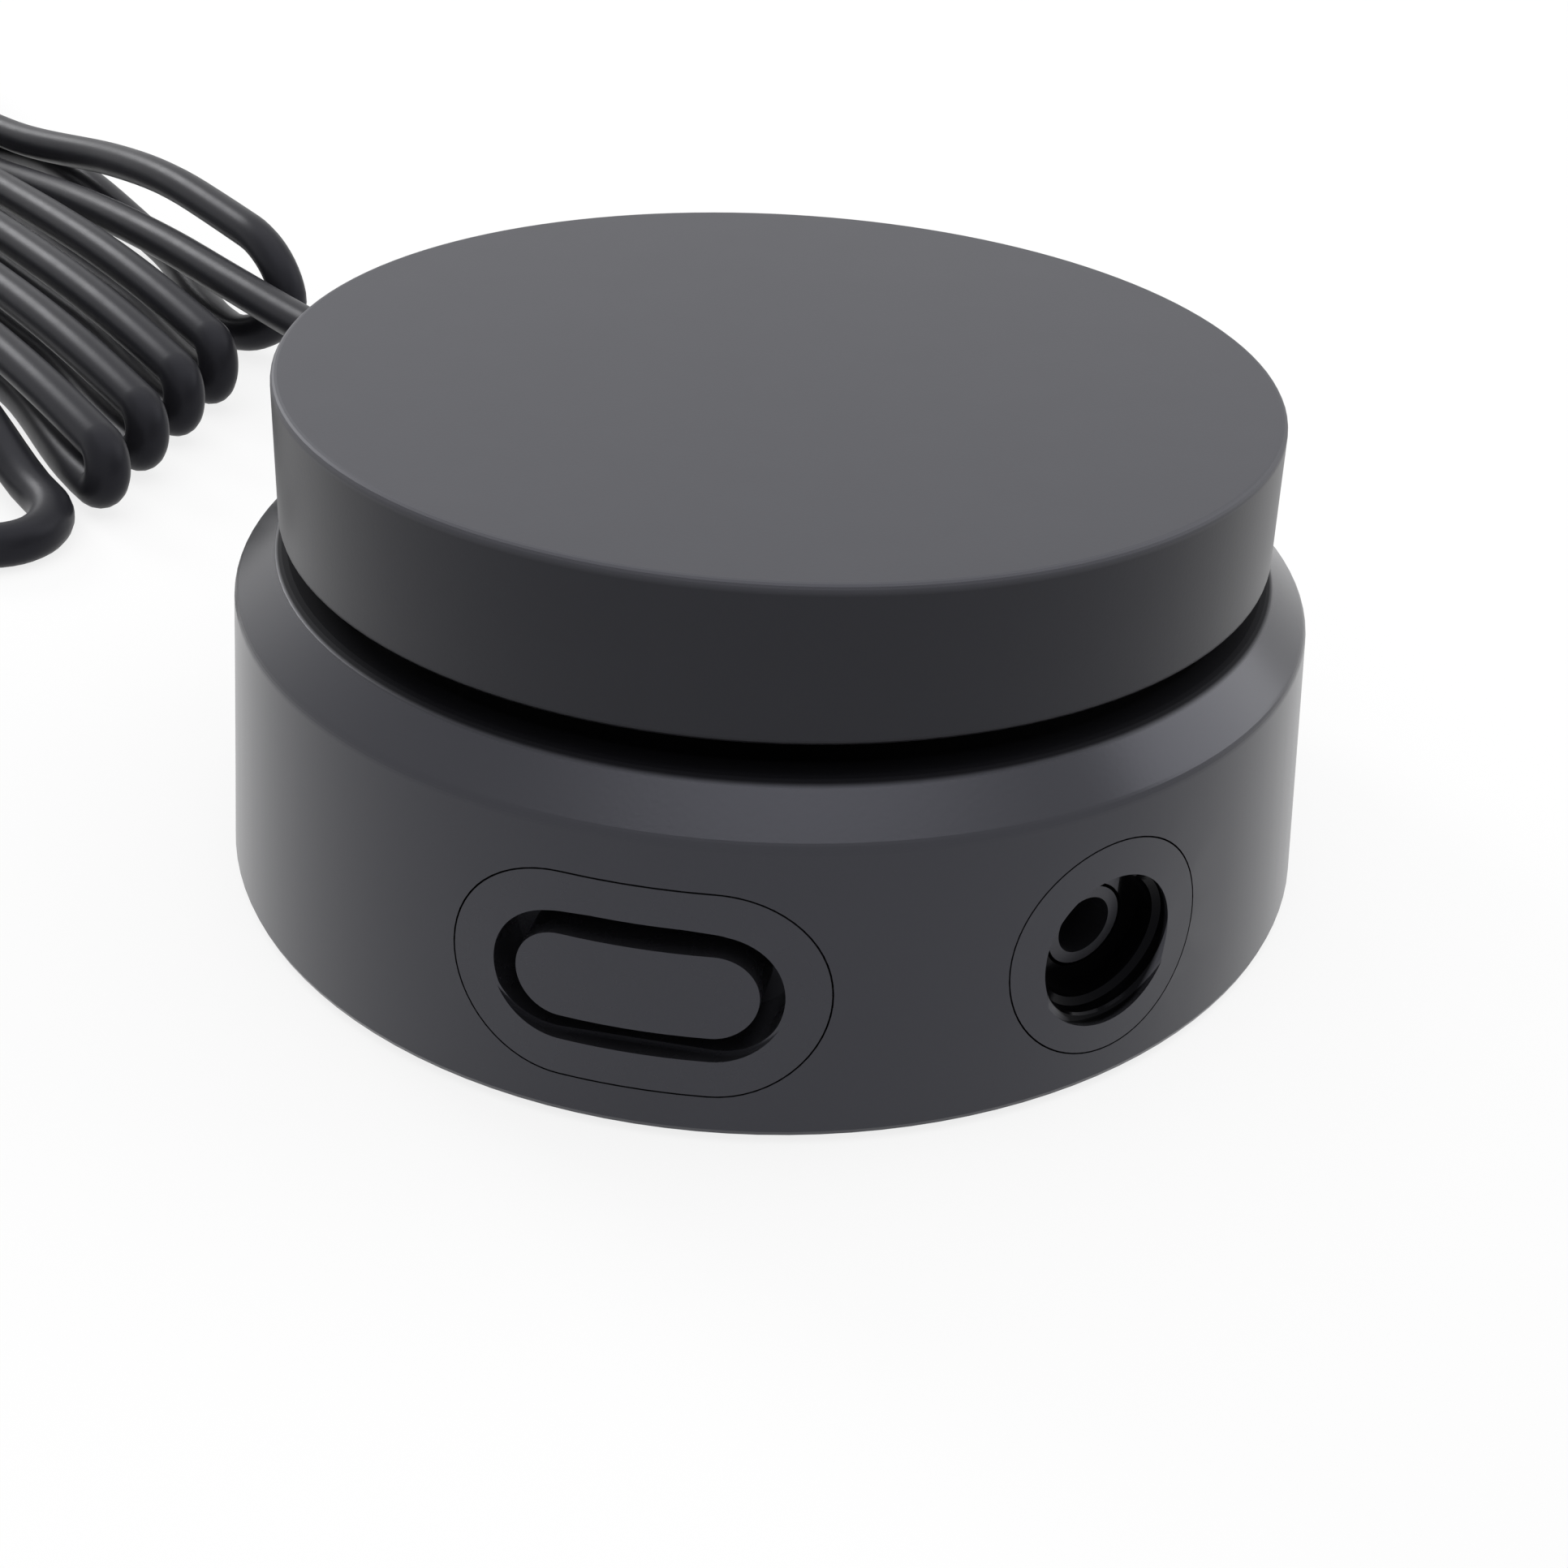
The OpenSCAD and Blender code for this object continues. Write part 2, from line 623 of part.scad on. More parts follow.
module mode_button() {
    color([0.33, 0.33, 0.35]) {
        intersection() {
            at_wall(-button_angle) translate([0, 0, button_back]) linear_extrude(wall_s)
                pill(button_l, button_h);
            envelope();
        }
        at_wall(-button_angle) box(stem_l, stem_h, clip_s + clip_t, button_back + 1, -stem_h / 2);
    }
}
clip_over = 0.9;
module button_clip() {
    color([0.85, 0.85, 0.82]) at_wall(-button_angle)
        box(stem_l + 2 * clip_over, stem_h + 2 * clip_over, clip_s, clip_s + clip_t,
            -stem_h / 2 - clip_over);
}
module tact_plunger() {
    color([0.1, 0.1, 0.1]) at_wall(-button_angle)
        cylinder_from(tact_r, tact_front - tact_cover_t - 0.6, clip_s);
}
tact_head = 2;
module tact_switch_body() {
    color([0.12, 0.12, 0.13]) at_wall(-button_angle) difference() {
        union() {
            box(tact_w, port_rise + tact_head, tact_back, tact_back + tact_body_l, -port_rise);
            for (x = [-1, 1]) translate([x * (tact_w / 2 + 0.4), 0, 0])
                box(0.8, 0.6, tact_back + 0.8, tact_back + 2, -port_rise);
        }
        cylinder_from(tact_r + loose, tact_back + tact_body_l - tact_pocket, tact_back + tact_body_l + 1);
    }
}
module tact_switch_cover() {
    color([0.75, 0.75, 0.77]) at_wall(-button_angle) difference() {
        box(tact_w + 0.4, port_rise + tact_head, tact_front - tact_cover_t, tact_front, -port_rise);
        cylinder_from(tact_r + loose, tact_front - 2, tact_front + 1);
    }
}

// Circuit board and what stands on it
pin_r = 0.4;
pin_spread = 2.5;
module pin_places(r) {
    for (x = [-1, 0, 1]) translate([x * pin_spread, -encoder_w / 2 - 0.9, 0]) cylinder_z(r);
    for (x = [-1, 1]) translate([x * pin_spread, encoder_w / 2 + 0.9, 0]) cylinder_z(r);
}
module cylinder_z(r) {
    translate([0, 0, board_bottom - pin_drop]) cylinder(r = r, h = board_t + pin_drop + 1.2);
}
module main_board() {
    color([0.05, 0.26, 0.15]) difference() {
        translate([0, 0, board_bottom]) cylinder(r = board_r, h = board_t);
        round_at(post_angles, post_circle_r) translate([0, 0, board_bottom - 1])
            cylinder(r = screw_r + 0.15, h = board_t + 2);
        pin_places(pin_r + seam);
    }
}
module board_screws() {
    color([0.75, 0.75, 0.77]) round_at(post_angles, post_circle_r)
        screw(board_bottom - head_t, board_t + board_screw_l - 0.5, head_t / 2);
}
module encoder_housing() {
    color([0.16, 0.17, 0.2]) difference() {
        translate([0, 0, board_top]) linear_extrude(encoder_h) round_rect(encoder_w, encoder_w, 0.6);
        translate([0, 0, board_top + encoder_floor])
            cylinder(r = cavity_r, h = encoder_h - encoder_floor - encoder_lid);
        translate([0, 0, encoder_top - 2]) cylinder(r = shaft_r + loose, h = 3);
    }
}
module encoder_bushing() {
    color([0.72, 0.72, 0.74]) difference() {
        union() {
            translate([0, 0, encoder_top]) cylinder(r = bushing_collar_r, h = bushing_collar_t);
            translate([0, 0, encoder_top]) cylinder(d = bushing_d, h = bushing_top - encoder_top);
        }
        translate([0, 0, encoder_top - 1]) cylinder(r = bore_r, h = bushing_top - encoder_top + 2);
    }
}
module encoder_washer() {
    color([0.8, 0.8, 0.82]) ring(washer_r, deck_hole_r, deck_top, deck_top + washer_t);
}
module encoder_nut() {
    color([0.78, 0.72, 0.5]) difference() {
        translate([0, 0, deck_top + washer_t])
            cylinder(r = nut_af / 2 / cos(30), h = nut_t, $fn = 6);
        translate([0, 0, deck_top]) cylinder(r = bushing_d / 2 + seat, h = nut_t + washer_t + 1);
    }
}
module encoder_pins() {
    color([0.8, 0.76, 0.62]) {
        pin_places(pin_r);
        for (y = [-1, 1], x = [-1, 0, 1]) if (y < 0 || x != 0)
            translate([x * pin_spread - pin_r, y * (encoder_w / 2 + 0.65) - 0.65, board_top + 1.2 - 0.2])
                cube([2 * pin_r, 1.3, 0.4]);
    }
}
module encoder_plunger() {
    color([0.9, 0.9, 0.88]) translate([0, 0, plunger_z]) cylinder(r = plunger_r, h = plunger_t);
}
module encoder_shaft() {
    color([0.75, 0.75, 0.77]) difference() {
        translate([0, 0, shaft_z]) cylinder(r = shaft_r, h = shaft_top - shaft_z);
        translate([flat, -shaft_d, hub_z - 0.2]) cube([shaft_d, 2 * shaft_d, dial_h + dial_gap]);
    }
}
module encoder_rotor() {
    color([0.85, 0.8, 0.6]) difference() {
        ring(rotor_r, shaft_r + seat, rotor_z, rotor_z + rotor_t);
        for (a = [0 : 30 : 330]) rotate([0, 0, a])
            translate([rotor_r - 0.35, -0.3, rotor_z - 1]) cube([1, 0.6, rotor_t + 2]);
    }
}
chip_inset = 11.8;
chip_at = [board_r - chip_inset, -3];
chip_w = 7;
chip_legs = 6;
module codec_chip() {
    color([0.1, 0.1, 0.1]) translate([chip_at[0], chip_at[1], board_top]) {
        translate([-chip_w / 2, -chip_w / 2, 0.15]) cube([chip_w, chip_w, 1.1]);
        for (a = [0 : 90 : 270], i = [0 : chip_legs - 1]) rotate([0, 0, a])
            translate([chip_w / 2 - 0.2, (i - (chip_legs - 1) / 2) * 0.9 - 0.2, 0])
                cube([1.1, 0.4, 0.4]);
    }
}
crystal_at = [board_r - chip_inset, 6];
module crystal() {
    color([0.8, 0.8, 0.82]) translate([crystal_at[0], crystal_at[1], board_top]) {
        linear_extrude(0.4) pill(5.4, 3.6);
        linear_extrude(2.4) pill(4.8, 3);
    }
}
cap_inset = 11.3;
cap_places = [[cap_inset - board_r, 2], [cap_inset + 1.5 - board_r, 10.5]];
cap_r = 3.1;
cap_h = 5.6;
module capacitors() {
    color([0.7, 0.7, 0.73]) for (p = cap_places) translate([p[0], p[1], board_top]) difference() {
        union() {
            linear_extrude(0.8) square(2 * cap_r + 0.4, center = true);
            cylinder(r = cap_r, h = cap_h);
        }
        translate([0, 0, 1.4]) ring(cap_r + 1, cap_r - 0.25, 0, 0.5);
    }
}

// Where the lead's wires meet the board
module cable_header() {
    color([0.93, 0.92, 0.86]) at_wall(180) difference() {
        box(header_w, 2 * port_rise, header_s, header_s + header_l, -port_rise);
        box(header_w - 2 * header_wall, 2 * (port_rise - header_wall), header_s + header_floor,
            header_s + header_l + 1, header_wall - port_rise);
        box(header_w - 4 * header_wall, port_rise, header_s + header_floor + 1.5,
            header_s + header_l + 1, 0);
    }
}
module header_plug() {
    color([0.95, 0.94, 0.9]) at_wall(180)
        box(header_w - 2 * header_wall - 2 * plug_fit, 2 * (port_rise - header_wall - plug_fit),
            header_s + header_floor + seat, header_s + header_l + plug_stick,
            header_wall + plug_fit - port_rise);
}
module cable_leads() {
    color([0.7, 0.15, 0.12]) at_wall(180) for (i = [0 : wires - 1])
        translate([(i - (wires - 1) / 2) * wire_pitch, 0, 0])
            cylinder_from(wire_r, header_s + header_l + plug_stick, relief_inner - relief_flange_t);
}
module strain_relief() {
    rib = relief_l / (relief_ribs + 1);
    taper = (relief_r - relief_tip_r) / relief_l;
    color([0.14, 0.14, 0.15]) at_wall(180) {
        box(2 * relief_flange, 2 * relief_flange, relief_inner - relief_flange_t, relief_inner,
            -relief_flange);
        cylinder_from(neck_r, relief_inner - 0.5, relief_start + 0.5);
        difference() {
            rotate_extrude() polygon([[0, relief_start], [relief_r - edge, relief_start],
                [relief_r, relief_start + edge], [relief_tip_r, relief_end - edge],
                [relief_tip_r - edge, relief_end], [0, relief_end]]);
            for (i = [1 : relief_ribs]) {
                s = relief_start + rib * i;
                r = relief_r - taper * rib * i;
                ring(r + 1, r - 0.6, s - rib * 0.22, s + rib * 0.22);
            }
        }
    }
}

// Dial
module dial_cap() {
    r0 = dial_bottom_d / 2;
    r1 = dial_top_d / 2;
    lean = atan((r0 - r1) / dial_h);
    inner = r1 - dial_side_t;
    rib_t = 1.2;
    rib_h = 2.6;
    color([0.42, 0.42, 0.43]) {
        rotate_extrude() polygon(concat(
            [[0, dial_ceiling], [inner - 1, dial_ceiling], [inner, dial_ceiling - 1]],
            [[inner, dial_z]],
            arc([r0 - edge, dial_z + edge], edge, 270, 360),
            arc([r1 - edge, dial_top - edge], edge, 0, 90),
            [[0, dial_top]]));
        for (i = [0 : dial_ribs - 1]) rotate([0, 0, (i + 0.5) * 360 / dial_ribs])
            translate([hub_flange_r + loose, -rib_t / 2, dial_ceiling - rib_h])
                cube([inner + 0.3 - hub_flange_r - loose, rib_t, rib_h + 0.3]);
    }
}
module dial_hub() {
    webs = 6;
    color([0.12, 0.12, 0.13]) difference() {
        union() {
            translate([0, 0, hub_z]) cylinder(r = hub_r, h = dial_ceiling - hub_z);
            translate([0, 0, dial_ceiling - hub_flange_t]) cylinder(r = hub_flange_r, h = hub_flange_t);
            for (i = [0 : webs - 1]) rotate([0, 0, i * 360 / webs])
                translate([hub_r - 0.5, -0.6, dial_ceiling - hub_flange_t - 1.6])
                    cube([hub_flange_r - hub_r - 1, 1.2, 2]);
        }
        difference() {
            translate([0, 0, hub_z - 1]) cylinder(r = bore_r, h = shaft_top + seat - hub_z + 1);
            translate([flat + running, -shaft_d, hub_z - 2])
                cube([shaft_d, 2 * shaft_d, shaft_top - hub_z + 4]);
        }
    }
}

// Lead, hank, tie and plug
module usb_cable() {
    color([0.13, 0.13, 0.14]) tube(cord_path, cord_d, 8);
}
module cable_hank() {
    color([0.13, 0.13, 0.14]) tube(hank_path, cord_d, 6);
}
module plug_lead() {
    color([0.13, 0.13, 0.14]) tube(tail_path, cord_d, 8);
}
// The band lies round all the strands at the waist
tie_t = 0.7;
tie_w = 6;
tie_slack = 0.5;
function strand_cut(path, u) = [for (i = [1 : len(path) - 1])
    let (a = path[i - 1] * hank_along, b = path[i] * hank_along)
    if ((a - u) * (b - u) < 0) path[i - 1] + (path[i] - path[i - 1]) * (u - a) / (b - a)];
function bundle(u) = concat(strand_cut(hank_path, u), strand_cut(cord_path, u));
tie_strands = concat(bundle(waist_u - tie_w / 2), bundle(waist_u + tie_w / 2));
tie_xs = [for (p = tie_strands) p * hank_across];
tie_zs = [for (p = tie_strands) p[2]];
tie_x0 = min(tie_xs) - cord_d / 2 - tie_slack;
tie_x1 = max(tie_xs) + cord_d / 2 + tie_slack;
tie_z0 = tie_t;
tie_z1 = max(tie_zs) + cord_d / 2 + tie_slack;
module cable_tie() {
    w = tie_x1 - tie_x0;
    h = tie_z1 - tie_z0;
    color([0.1, 0.1, 0.1]) rotate([0, 0, hank_yaw])
        translate([(tie_x0 + tie_x1) / 2, waist_u + tie_w / 2, (tie_z0 + tie_z1) / 2])
        rotate([90, 0, 0]) linear_extrude(tie_w) difference() {
            round_rect(w + 2 * tie_t, h + 2 * tie_t, 1.6);
            round_rect(w, h, 0.8);
        }
}
usb_w = 12;
usb_h = 4.5;
usb_l = 18.8;
usb_t = 0.3;
usb_corner = 0.3;
tongue_root = 5;
module at_plug() {
    translate(plug_at) rotate([-90, 0, 0]) children();
}
module usb_plug_overmould() {
    neck_l = 5;
    scoop_r = 6.6;
    scoop = 0.3;
    color([0.12, 0.12, 0.13]) at_plug() {
        cylinder(d1 = cord_d + 1.6, d2 = grip_t - 2, h = neck_l);
        translate([0, 0, neck_l - 1]) linear_extrude(grip_l - neck_l + 1) difference() {
            round_rect(grip_w, grip_t, 1.6);
            for (x = [-1, 1]) translate([x * (grip_w / 2 + scoop_r - scoop), 0]) circle(r = scoop_r);
        }
        translate([0, 0, grip_l - 3]) linear_extrude(3) round_rect(grip_w, grip_t, 1.6);
    }
}
module usb_plug_shell() {
    color([0.78, 0.78, 0.8]) at_plug() translate([0, 0, grip_l]) linear_extrude(usb_l) difference() {
        round_rect(usb_w, usb_h, usb_corner + usb_t);
        round_rect(usb_w - 2 * usb_t, usb_h - 2 * usb_t, usb_corner);
    }
}
tongue_t = 1.8;
module usb_plug_tongue() {
    color([0.92, 0.92, 0.9]) at_plug() translate([0, 0, grip_l]) {
        linear_extrude(usb_l - 0.6) translate([0, usb_h / 2 - usb_t - seat - tongue_t / 2])
            round_rect(usb_w - 2 * usb_t - 2 * seat, tongue_t, usb_corner);
        linear_extrude(tongue_root)
            round_rect(usb_w - 2 * usb_t - 2 * seat, usb_h - 2 * usb_t - 2 * seat, usb_corner);
    }
}
module usb_plug_contacts() {
    color([0.85, 0.7, 0.3]) at_plug() for (i = [-1.5 : 1 : 1.5])
        translate([i * 2.3 - 0.5, usb_h / 2 - usb_t - seat - tongue_t - 0.2, grip_l + tongue_root])
            cube([1, 0.2, usb_l - tongue_root - 2]);
}

base_shell();
base_plate();
foot_ring();
base_screws();
button_bezel();
jack_bezel();
main_board();
board_screws();
encoder_housing();
encoder_bushing();
encoder_washer();
encoder_nut();
encoder_pins();
jack_housing();
jack_contacts();
codec_chip();
crystal();
capacitors();
cable_header();
header_plug();
cable_leads();
strain_relief();
tact_switch_body();
tact_switch_cover();
mode_button();
button_clip();
tact_plunger();
encoder_plunger();
dial_cap();
dial_hub();
encoder_shaft();
encoder_rotor();
usb_cable();
cable_hank();
plug_lead();
cable_tie();
usb_plug_overmould();
usb_plug_shell();
usb_plug_tongue();
usb_plug_contacts();
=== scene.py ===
import json
import math

import bpy
from mathutils import Matrix, Vector


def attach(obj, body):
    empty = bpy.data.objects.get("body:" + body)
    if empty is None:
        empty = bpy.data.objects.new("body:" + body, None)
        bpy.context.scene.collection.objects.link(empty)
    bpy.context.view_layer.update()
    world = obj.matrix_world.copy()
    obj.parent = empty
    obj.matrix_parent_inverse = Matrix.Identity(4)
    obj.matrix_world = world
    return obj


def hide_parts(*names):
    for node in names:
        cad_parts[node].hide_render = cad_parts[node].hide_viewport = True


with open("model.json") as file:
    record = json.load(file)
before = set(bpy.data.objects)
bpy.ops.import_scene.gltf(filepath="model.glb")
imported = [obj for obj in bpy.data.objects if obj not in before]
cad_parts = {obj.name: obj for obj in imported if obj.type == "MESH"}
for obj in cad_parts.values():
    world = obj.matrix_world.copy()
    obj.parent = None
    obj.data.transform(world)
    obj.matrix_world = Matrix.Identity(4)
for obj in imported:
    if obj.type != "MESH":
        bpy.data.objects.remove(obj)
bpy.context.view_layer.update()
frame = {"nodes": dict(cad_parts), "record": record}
nodes = frame["nodes"]
scene = bpy.context.scene
MM = 0.001

# Camera, at the photograph's viewing angle; its focus and centre are in pixels of that picture
PICTURE = 1932
FOCUS = 2515.58
CENTRE_X, CENTRE_Y = 1205.59, 932.64
SENSOR_MM = 36

view = bpy.data.cameras.new("camera")
view.sensor_width = SENSOR_MM
view.lens = FOCUS / PICTURE * SENSOR_MM
view.shift_x = (PICTURE / 2 - CENTRE_X) / PICTURE
view.shift_y = (CENTRE_Y - PICTURE / 2) / PICTURE
view.clip_start = 0.005
view.clip_end = 20
camera = bpy.data.objects.new("camera", view)
scene.collection.objects.link(camera)
scene.camera = camera


def aim(obj, place, pitch, yaw, roll, turn):
    """Puts a camera at a place, tilted down by pitch, all turned round the part's axis."""
    level = math.cos(pitch)
    ahead = Vector((math.sin(yaw) * level, math.cos(yaw) * level, -math.sin(pitch)))
    right = Vector((math.cos(yaw), -math.sin(yaw), 0))
    down = ahead.cross(right)
    x = math.cos(roll) * right + math.sin(roll) * down
    y = math.sin(roll) * right - math.cos(roll) * down
    tilt = Matrix((x, y, -ahead)).transposed().to_4x4()
    obj.matrix_world = Matrix.Rotation(turn, 4, "Z") @ Matrix.Translation(place) @ tilt


aim(camera, Vector((0, -119.175, 76.142)) * MM,
    pitch=0.54368661, yaw=0.11411547, roll=-0.09573963, turn=math.radians(-33.1))

# Lead, in millimetres: a smooth line on the route of the solids, a little rounder at the tips. Most of it
# is a hank of loops, laid to and fro. A place on the hank is given along it (u), across it (x) and up (z).
# n counts the loops from 0, and the lead comes in as loop -1. a is the angle gone round in a turn.
CORD_D = 3.5
RELIEF_END, PORT_Z = 48.81, 9.1  # where the lead leaves its strain relief
STUB = 4  # straight bit at a joint of two stretches
HANK_STUB = 5  # the same at both ends of the hank
FLOOR_Z = CORD_D / 2  # runs on the floor
LAYER_Z = FLOOR_Z + 4.9  # runs on top of them

# the hank as a whole
LOOPS = 6
YAW = math.radians(6)
HANK_X, PITCH = 5.05, 5.7  # first loop, and the step from loop to loop
HANK_TIP, RUN = 87, 108
STAGGER, FAR_STAGGER = 5.4, 5.8  # step of the near and of the far turns
TURN_R = 7  # reach of the first and the last near turn
CREST_Z, CREST_STEP, CREST_RUN, CREST_BACK = 8, 0.2, 52, 14  # the top runs rise from the tie to the tips
DROOP_RUN, RISE_RUN, SWEEP_RUN = 26, 26, 26  # lengths over which the runs bend to a tip

# near turns of the middle loops, of the first and of the last
TIP_REACH, TIP_SHIFT, TIP_SWEEP, TIP_RISE, TIP_DROOP = 1.9, 2, 2.8, 0.3, 1.6
FIRST_GAP, FIRST_SHIFT, FIRST_SWEEP, FIRST_BACK = 4.95, 1.4, 4.4, 2.5
FIRST_RISE, FIRST_DROOP, FIRST_LIFT = 3.5, 0.6, 2.6
FIRST_DELAY = math.radians(85)  # before the turn goes across
LEAN, LEAN_U, LEAN_RUN = 1.8, 128, 25  # the first loop's top run leans in towards the tie
LAST_GAP, LAST_SHIFT, LAST_BACK, LAST_RUN, LAST_SINK = -0.7, -9.5, 1, 16, 1.6

# waist at the tie, where the strands draw together, and the fan beyond it
WAIST_U, WAIST_HALF, WAIST_DRAW, WAIST_LIFT = 174, 30, 0.14, 0.9
MID_X, FAN_W, FAN_RUN, LEAD_X = -7, 9, 25, 6.4
FAR_REACH = 5
FAR_HOLD, FAR_RISE, FIRST_FAR_RISE = math.radians(10), math.radians(74), math.radians(160)

# places that the lead passes: on the hank as u, x, z, then beyond its waist, then to the plug as x, y, z
LEAD_IN = ((60, 6, 8.8), (69, 6.1, 8.4), (80, 5.7, 8.2), (92, 5.4, 8.2), (104, 5.4, 8),
           (116, 5.3, 7.4), (128, 5.3, 6.3), (140, 5.5, 4.7), (151, 5.7, 3.2), (160, 5.5, 2.7))
PAST_WAIST = (0, 8, 15, 23, 30)
TO_PLUG = ((-41.5, 90, FLOOR_Z), (-44.2, 98, FLOOR_Z), (-47.5, 107, 2), (-51, 117, 2.8),
           (-53.4, 127, 3.8), (-54, 136, 4), (-54, 140, 4))

ALONG = Vector((-math.sin(YAW), math.cos(YAW), 0))
ACROSS = Vector((math.cos(YAW), math.sin(YAW), 0))


def ease(t):
    """From 0 to 1 without a kink at either end."""
    c = min(max(t, 0.0), 1.0)
    return c * c * (3 - 2 * c)


def on_hank(u, x, z):
    """A place on the hank, in the part's frame."""
    return u * ALONG + x * ACROSS + Vector((0, 0, z))


def pick(n, first, tip, last):
    """The value for the first, a middle or the last loop."""
    return first if n < 1 else last if n == LOOPS - 1 else tip


def top_x(n):
    """Place across of a loop's top run."""
    return HANK_X - PITCH * n + pick(n, FIRST_GAP, 0, -LAST_GAP)


def low_x(n):
    """Place across of a loop's low run."""
    return LEAD_X if n < 0 else top_x(n) + pick(n, FIRST_SHIFT, TIP_SHIFT, LAST_SHIFT)


def reach(n):
    """How far a near turn goes out beyond its runs."""
    return pick(n, TURN_R, TIP_REACH, TURN_R)


def near_u(n):
    """Where the runs end and the near turn begins."""
    return HANK_TIP - STAGGER * n + reach(n) + pick(n, FIRST_BACK, 0, LAST_BACK)


def far_u(n):
    """Where the runs end and the far turn begins."""
    return HANK_TIP + RUN + FAR_STAGGER * (LOOPS - 2 - n)


def crest(n):
    """Height of a top run before its tip."""
    return CREST_Z - CREST_STEP * (n - 1) + pick(n, FIRST_RISE, 0, -LAST_SINK)


def droop(n):
    """How far a top run goes down at its tip."""
    return pick(n, FIRST_DROOP, TIP_DROOP, crest(n) - FLOOR_Z)


def fall(n, u):
    """How far a top run has gone down to its tip, from 0 to 1."""
    if n == LOOPS - 1:
        return ease((near_u(n) + LAST_RUN - u) / LAST_RUN)
    return min(max((near_u(n) + DROOP_RUN - u) / DROOP_RUN, 0), 1) ** 2


def pinch(u):
    """1 at the tie and 0 away from it."""
    return math.cos(math.pi / 2 * min(1, abs(u - WAIST_U) / WAIST_HALF)) ** 4


def fan(u):
    """How far the runs spread beyond the tie, the top ones to one side and the low ones to the other."""
    return FAN_W * ease((u - WAIST_U) / FAN_RUN)


def drawn(u, x):
    """A place across, drawn to the middle at the tie."""
    return MID_X + (x - MID_X) * (1 - WAIST_DRAW * pinch(u))


def sweep(n, u):
    """How far a low run swings out sideways towards its tip."""
    if n < 0:
        return 0
    return pick(n, FIRST_SWEEP, TIP_SWEEP, 0) * (1 - ease((u - near_u(n)) / SWEEP_RUN))


def lean_in(n, u):
    """How far the first loop's top run leans in."""
    return LEAN * ease((u - LEAN_U) / LEAN_RUN) if n == 0 else 0


def hump(n, u):
    """The first loop's low run is lifted a little before the tie."""
    side = min(1, abs(u - WAIST_U + WAIST_HALF) / WAIST_HALF)
    return FIRST_LIFT * math.cos(math.pi / 2 * side) ** 2 if n == 0 else 0


def tip_low(n):
    """Height of a low run at its tip."""
    return FLOOR_Z + pick(n, 0, TIP_RISE, 0)


def top_at(n, u):
    rise = (crest(n) - LAYER_Z) * ease((WAIST_U - CREST_BACK - u) / CREST_RUN)
    return on_hank(u, drawn(u, top_x(n) - lean_in(n, u) + fan(u)),
                   LAYER_Z + rise - droop(n) * fall(n, u))


def near_turn(n, a):
    z0, z1, t = tip_low(n), crest(n) - droop(n), a / math.pi
    slope = 0 if n == LOOPS - 1 else -2 * droop(n) / DROOP_RUN * reach(n) * math.pi
    g = ease((a - FIRST_DELAY) / (math.pi - FIRST_DELAY)) if n < 1 else (1 - math.cos(a)) / 2
    x0, x1 = top_x(n), low_x(n) - sweep(n, near_u(n))
    return on_hank(near_u(n) - reach(n) * math.sin(a), x0 + (x1 - x0) * g,
                   z0 + (z1 - z0) * (1 + math.cos(a)) / 2 + slope * t * (1 - t) ** 2)


def low_at(n, u):
    tip_share = 1 - ease((u - near_u(n)) / RISE_RUN)
    rise = WAIST_LIFT * pinch(u) + hump(n, u) + (tip_low(n) - FLOOR_Z) * tip_share
    return on_hank(u, drawn(u, low_x(n) - sweep(n, u) - fan(u)), FLOOR_Z + rise)


def far_turn(n, a):
    u = far_u(n)
    x0 = drawn(u, low_x(n) - fan(u))
    x1 = drawn(u, top_x(n + 1) - lean_in(n + 1, u) + fan(u))
    rise = FIRST_FAR_RISE if n == 0 else FAR_RISE
    return on_hank(u + FAR_REACH * math.sin(a), x0 + (x1 - x0) * (1 - math.cos(a)) / 2,
                   FLOOR_Z + (LAYER_Z - FLOOR_Z) * ease((a - FAR_HOLD) / rise))


def hank_line(run_steps=56, turn_steps=24):
    """The hank's points: a top run, a near turn, a low run and a far turn for each loop."""
    line = []
    runs = [i / run_steps for i in range(run_steps)]
    turns = [math.pi * i / turn_steps for i in range(turn_steps)]
    for n in range(-1, LOOPS):
        if n >= 0:
            back = far_u(n - 1)
            line += [top_at(n, back + (near_u(n) - back) * t) for t in runs]
            line += [near_turn(n, a) for a in turns]
            if n == LOOPS - 1:
                line.append(near_turn(n, math.pi))
                break
            line += [low_at(n, near_u(n) + (far_u(n) - near_u(n)) * t) for t in runs]
        line += [far_turn(n, a) for a in turns]
    return [line[0] - HANK_STUB * ALONG, *line, line[-1] + HANK_STUB * ALONG]


def smooth(points, step=2.0):
    """A Catmull-Rom line through the points, with a point about every step."""
    ends = [2 * points[0] - points[1], *points, 2 * points[-1] - points[-2]]
    line = []
    for a, b, c, d in zip(ends, ends[1:], ends[2:], ends[3:]):
        t1 = (b - a).length ** 0.5
        t2 = t1 + (c - b).length ** 0.5
        t3 = t2 + (d - c).length ** 0.5
        count = max(2, round((c - b).length / step))
        for i in range(count):
            t = t1 + (t2 - t1) * i / count
            p = a * (t1 - t) / t1 + b * t / t1
            q = b * (t2 - t) / (t2 - t1) + c * (t - t1) / (t2 - t1)
            s = c * (t3 - t) / (t3 - t2) + d * (t - t2) / (t3 - t2)
            p = p * (t2 - t) / t2 + q * t / t2
            q = q * (t3 - t) / (t3 - t1) + s * (t - t1) / (t3 - t1)
            line.append(p * (t2 - t) / (t2 - t1) + q * (t - t1) / (t2 - t1))
    return [*line, points[-1]]


